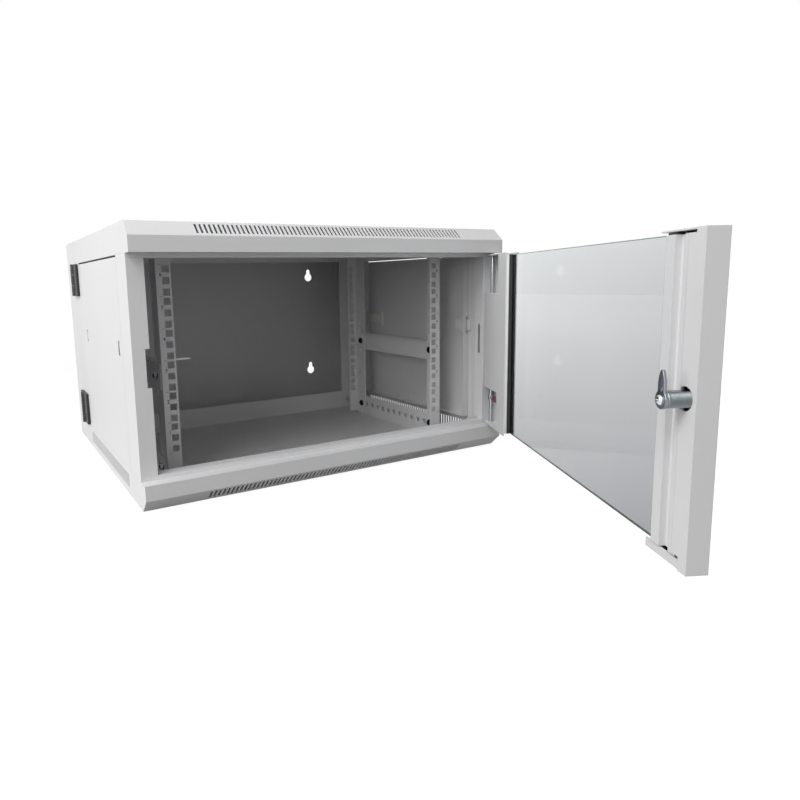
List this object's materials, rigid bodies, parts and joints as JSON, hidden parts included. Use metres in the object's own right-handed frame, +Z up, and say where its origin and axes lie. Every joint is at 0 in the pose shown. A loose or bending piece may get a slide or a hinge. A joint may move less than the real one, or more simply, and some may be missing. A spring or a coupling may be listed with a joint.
{
  "type": "wall-mount server rack cabinet",
  "caption": "Six-unit 19-inch wall cabinet: wall-fixed rear section, swing-out front section with rails, vents, lift-off sides and a glass door with a cam lock.",
  "frame": {"origin": "middle of the closed cabinet's footprint, on its underside", "axes": "+X to the right seen from the front, +Y from the front towards the wall, +Z up"},
  "size_m": [0.609, 1.0611, 0.368],
  "materials": {
    "cabinet_paint": "satin light grey powder coat",
    "black_paint": "black powder coat",
    "zinc": "zinc plated",
    "black_zinc": "black zinc",
    "tinted_glass": "polished",
    "seal_rubber": "matt",
    "clip_plastic": "moulded",
    "red_plastic": "moulded",
    "lock_chrome": "polished",
    "dark_steel": "dark zinc",
    "latch_plastic": "moulded light grey"
  },
  "bodies": {
    "rear_section": {"back_wall": "cabinet_paint", "rear_roof": "cabinet_paint", "rear_floor": "cabinet_paint", "right_rear_side": "cabinet_paint", "left_rear_side": "cabinet_paint", "lower_swing_hinge_rear_leaf": "black_paint", "upper_swing_hinge_rear_leaf": "black_paint", "swing_hinge_pins": "zinc"},
    "front_section": {"roof_cover": "cabinet_paint", "floor_pan": "cabinet_paint", "front_top_beam": "cabinet_paint", "front_bottom_beam": "cabinet_paint", "right_front_post": "cabinet_paint", "left_front_post": "cabinet_paint", "right_rear_post": "cabinet_paint", "left_rear_post": "cabinet_paint", "right_front_rail": "cabinet_paint", "left_front_rail": "cabinet_paint", "right_rear_rail": "cabinet_paint", "left_rear_rail": "cabinet_paint", "right_floor_brace": "cabinet_paint", "left_floor_brace": "cabinet_paint", "right_middle_brace": "cabinet_paint", "left_middle_brace": "cabinet_paint", "right_roof_brace": "cabinet_paint", "left_roof_brace": "cabinet_paint", "rail_bolts": "black_zinc", "rail_nuts": "black_zinc", "right_side_panel": "cabinet_paint", "left_side_panel": "cabinet_paint", "seam_screws": "zinc", "ground_stud": "zinc", "lower_swing_hinge_front_leaf": "black_paint", "upper_swing_hinge_front_leaf": "black_paint"},
    "door": {"hinge_strip": "cabinet_paint", "lock_strip": "cabinet_paint", "lock_strip_lining": "cabinet_paint", "door_glass": "tinted_glass", "hinge_side_seal": "seal_rubber", "lock_side_seal": "seal_rubber", "glass_clips": "clip_plastic", "upper_hinge_pin": "zinc", "lock_barrel": "lock_chrome", "lock_barrel_nut": "lock_chrome"},
    "hinge_bolt": {"lower_hinge_bolt": "zinc", "release_knob": "red_plastic", "lower_bolt_spring": "zinc"},
    "lock": {"lock_plug": "lock_chrome", "lock_cam": "dark_steel", "lock_cam_screw": "lock_chrome"},
    "right_front_catch": {"right_front_latch": "latch_plastic"},
    "left_front_catch": {"left_front_latch": "latch_plastic"},
    "right_rear_catch": {"right_rear_latch": "latch_plastic"},
    "left_rear_catch": {"left_rear_latch": "latch_plastic"}
  },
  "joints": [
    {"name": "main_swing", "type": "hinge", "parent": "rear_section", "child": "front_section", "pos_m": [-0.3048, 0.1746, 0.184], "axis": [0, 0, -1], "range_deg": [0, 90]},
    {"name": "door_swing", "type": "hinge", "parent": "front_section", "child": "door", "pos_m": [0.288, -0.2656, 0.184], "axis": [0, 0, 1], "range_deg": [-63.65, 116.35]},
    {"name": "hinge_bolt_slide", "type": "slide", "parent": "door", "child": "hinge_bolt", "axis": [0, 0, 1], "range_m": [0, 0.008], "stiffness_N_per_m": 400, "deforming": ["lower_bolt_spring"]},
    {"name": "lock_turn", "type": "hinge", "parent": "door", "child": "lock", "pos_m": [0.01337, -0.75562, 0.189], "axis": [0.8961, -0.4439, 0], "range_deg": [0, 90]},
    {"name": "right_front_latch_slide", "type": "slide", "parent": "front_section", "child": "right_front_catch", "axis": [0, 1, 0], "range_m": [0, 0.008], "stiffness_N_per_m": 300},
    {"name": "left_front_latch_slide", "type": "slide", "parent": "front_section", "child": "left_front_catch", "axis": [0, 1, 0], "range_m": [0, 0.008], "stiffness_N_per_m": 300},
    {"name": "right_rear_latch_slide", "type": "slide", "parent": "front_section", "child": "right_rear_catch", "axis": [0, -1, 0], "range_m": [0, 0.008], "stiffness_N_per_m": 300},
    {"name": "left_rear_latch_slide", "type": "slide", "parent": "front_section", "child": "left_rear_catch", "axis": [0, -1, 0], "range_m": [0, 0.008], "stiffness_N_per_m": 300}
  ]
}
